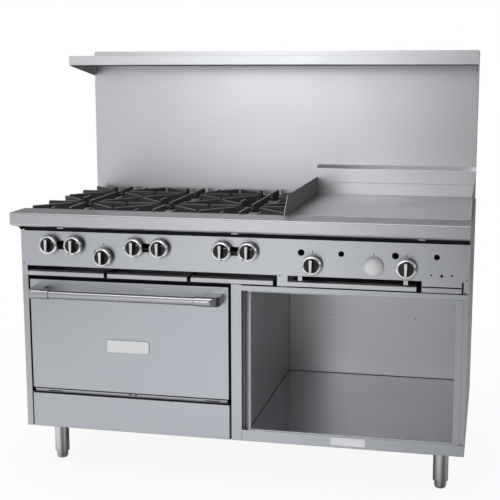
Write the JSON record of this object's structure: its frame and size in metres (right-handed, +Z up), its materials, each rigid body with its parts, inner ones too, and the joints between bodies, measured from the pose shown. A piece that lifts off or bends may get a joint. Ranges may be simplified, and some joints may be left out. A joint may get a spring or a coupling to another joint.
{
  "type": "commercial gas range",
  "caption": "Free-standing restaurant gas range with open burners under lift-off grates, a griddle, a drop-down oven door, open storage, and a backguard with shelf, on adjustable legs.",
  "frame": {"origin": "centre of the overall footprint, on the floor", "axes": "+X to the right as the cook faces the range, +Y to the back, +Z up; the front faces -Y"},
  "size_m": [1.5, 0.876, 1.448],
  "materials": {
    "stainless": "brushed stainless steel sheet, satin grain along the width",
    "handle_steel": "satin polished stainless",
    "galvanised": "plain coated steel sheet, dull",
    "oven_enamel": "dark baked porcelain enamel, semi gloss",
    "black_paint": "black heat-resistant paint, matt",
    "pipe_steel": "mill-finish pipe, dull",
    "badge_plate": "plain satin plate, no lettering",
    "griddle_steel": "ground griddle plate, fine brushed",
    "rack_chrome": "bright plated wire",
    "leg_chrome": "bright nickel-plated tube",
    "knob_chrome": "polished bevelled ring",
    "knob_insert": "black heat-resistant moulded face",
    "cast_iron": "as-cast iron, fine pebbled skin"
  },
  "bodies": {
    "range_body": {"base_frame": "galvanised", "leg_front_left": "leg_chrome", "leg_front_right": "leg_chrome", "leg_rear_left": "leg_chrome", "leg_rear_right": "leg_chrome", "left_side_panel": "stainless", "right_side_panel": "stainless", "rear_panel": "galvanised", "front_frame": "stainless", "kick_panel": "stainless", "storage_liner": "stainless", "oven_liner": "oven_enamel", "oven_burner": "pipe_steel", "storage_badge": "badge_plate", "control_panel": "stainless", "valve_hole_cap": "stainless", "gas_manifold": "pipe_steel", "plate_rail": "stainless", "burner_box": "black_paint", "burner_front_left": "cast_iron", "burner_front_middle": "cast_iron", "burner_front_right": "cast_iron", "burner_rear_left": "cast_iron", "burner_rear_middle": "cast_iron", "burner_rear_right": "cast_iron", "griddle_plate": "griddle_steel", "griddle_splash": "stainless", "griddle_burner": "pipe_steel", "backguard": "stainless", "high_shelf": "stainless"},
    "oven_door": {"door_outer_panel": "stainless", "door_inner_panel": "galvanised", "door_handle_bar": "handle_steel", "handle_bracket_left": "handle_steel", "handle_bracket_right": "handle_steel", "door_badge": "badge_plate"},
    "oven_rack": {"oven_rack": "rack_chrome"},
    "knob_burner_1": {"knob_burner_1": "knob_chrome"},
    "knob_burner_2": {"knob_burner_2": "knob_chrome"},
    "knob_burner_3": {"knob_burner_3": "knob_chrome"},
    "knob_burner_4": {"knob_burner_4": "knob_chrome"},
    "knob_burner_5": {"knob_burner_5": "knob_chrome"},
    "knob_burner_6": {"knob_burner_6": "knob_chrome"},
    "knob_oven": {"knob_oven": "knob_chrome"},
    "knob_griddle_1": {"knob_griddle_1": "knob_chrome"},
    "knob_griddle_2": {"knob_griddle_2": "knob_chrome"},
    "drip_tray_left": {"drip_tray_left": "stainless"},
    "drip_tray_middle": {"drip_tray_middle": "stainless"},
    "drip_tray_right": {"drip_tray_right": "stainless"},
    "grease_drawer": {"grease_drawer": "stainless"},
    "grate_front_left": {"grate_front_left": "cast_iron"},
    "grate_front_middle": {"grate_front_middle": "cast_iron"},
    "grate_front_right": {"grate_front_right": "cast_iron"},
    "grate_rear_left": {"grate_rear_left": "cast_iron"},
    "grate_rear_middle": {"grate_rear_middle": "cast_iron"},
    "grate_rear_right": {"grate_rear_right": "cast_iron"},
    "foot_front_left": {"foot_front_left": "leg_chrome"},
    "foot_front_right": {"foot_front_right": "leg_chrome"},
    "foot_rear_left": {"foot_rear_left": "leg_chrome"},
    "foot_rear_right": {"foot_rear_right": "leg_chrome"}
  },
  "joints": [
    {"name": "oven_door_hinge", "type": "hinge", "parent": "range_body", "child": "oven_door", "pos_m": [-0.374, -0.336, 0.29], "axis": [1, 0, 0], "range_deg": [0, 90], "stiffness_Nm_per_rad": 45, "springref_deg": -34.38},
    {"name": "oven_rack_slide", "type": "slide", "parent": "range_body", "child": "oven_rack", "axis": [0, -1, 0], "range_m": [0, 0.045]},
    {"name": "knob_burner_1_turn", "type": "hinge", "parent": "range_body", "child": "knob_burner_1", "pos_m": [-0.644, -0.354, 0.798], "axis": [0, -1, 0], "range_deg": [0, 90]},
    {"name": "knob_burner_2_turn", "type": "hinge", "parent": "range_body", "child": "knob_burner_2", "pos_m": [-0.556, -0.354, 0.798], "axis": [0, -1, 0], "range_deg": [0, 90]},
    {"name": "knob_burner_3_turn", "type": "hinge", "parent": "range_body", "child": "knob_burner_3", "pos_m": [-0.344, -0.354, 0.798], "axis": [0, -1, 0], "range_deg": [0, 90]},
    {"name": "knob_burner_4_turn", "type": "hinge", "parent": "range_body", "child": "knob_burner_4", "pos_m": [-0.256, -0.354, 0.798], "axis": [0, -1, 0], "range_deg": [0, 90]},
    {"name": "knob_burner_5_turn", "type": "hinge", "parent": "range_body", "child": "knob_burner_5", "pos_m": [-0.044, -0.354, 0.798], "axis": [0, -1, 0], "range_deg": [0, 90]},
    {"name": "knob_burner_6_turn", "type": "hinge", "parent": "range_body", "child": "knob_burner_6", "pos_m": [0.044, -0.354, 0.798], "axis": [0, -1, 0], "range_deg": [0, 90]},
    {"name": "knob_oven_turn", "type": "hinge", "parent": "range_body", "child": "knob_oven", "pos_m": [-0.453, -0.354, 0.762], "axis": [0, -1, 0], "range_deg": [0, 270]},
    {"name": "knob_griddle_1_turn", "type": "hinge", "parent": "range_body", "child": "knob_griddle_1", "pos_m": [0.2535, -0.354, 0.762], "axis": [0, -1, 0], "range_deg": [0, 90]},
    {"name": "knob_griddle_2_turn", "type": "hinge", "parent": "range_body", "child": "knob_griddle_2", "pos_m": [0.554, -0.354, 0.762], "axis": [0, -1, 0], "range_deg": [0, 90]},
    {"name": "drip_tray_left_slide", "type": "slide", "parent": "range_body", "child": "drip_tray_left", "axis": [0, -1, 0], "range_m": [0, 0.45]},
    {"name": "drip_tray_middle_slide", "type": "slide", "parent": "range_body", "child": "drip_tray_middle", "axis": [0, -1, 0], "range_m": [0, 0.45]},
    {"name": "drip_tray_right_slide", "type": "slide", "parent": "range_body", "child": "drip_tray_right", "axis": [0, -1, 0], "range_m": [0, 0.45]},
    {"name": "grease_drawer_slide", "type": "slide", "parent": "range_body", "child": "grease_drawer", "axis": [0, -1, 0], "range_m": [0, 0.45]},
    {"name": "grate_front_left_lift", "type": "slide", "parent": "range_body", "child": "grate_front_left", "axis": [0, 0, 1], "range_m": [0, 0.08]},
    {"name": "grate_front_middle_lift", "type": "slide", "parent": "range_body", "child": "grate_front_middle", "axis": [0, 0, 1], "range_m": [0, 0.08]},
    {"name": "grate_front_right_lift", "type": "slide", "parent": "range_body", "child": "grate_front_right", "axis": [0, 0, 1], "range_m": [0, 0.08]},
    {"name": "grate_rear_left_lift", "type": "slide", "parent": "range_body", "child": "grate_rear_left", "axis": [0, 0, 1], "range_m": [0, 0.08]},
    {"name": "grate_rear_middle_lift", "type": "slide", "parent": "range_body", "child": "grate_rear_middle", "axis": [0, 0, 1], "range_m": [0, 0.08]},
    {"name": "grate_rear_right_lift", "type": "slide", "parent": "range_body", "child": "grate_rear_right", "axis": [0, 0, 1], "range_m": [0, 0.08]},
    {"name": "foot_front_left_adjust", "type": "slide", "parent": "range_body", "child": "foot_front_left", "axis": [0, 0, 1], "range_m": [-0.025, 0]},
    {"name": "foot_front_right_adjust", "type": "slide", "parent": "range_body", "child": "foot_front_right", "axis": [0, 0, 1], "range_m": [-0.025, 0]},
    {"name": "foot_rear_left_adjust", "type": "slide", "parent": "range_body", "child": "foot_rear_left", "axis": [0, 0, 1], "range_m": [-0.025, 0]},
    {"name": "foot_rear_right_adjust", "type": "slide", "parent": "range_body", "child": "foot_rear_right", "axis": [0, 0, 1], "range_m": [-0.025, 0]}
  ]
}
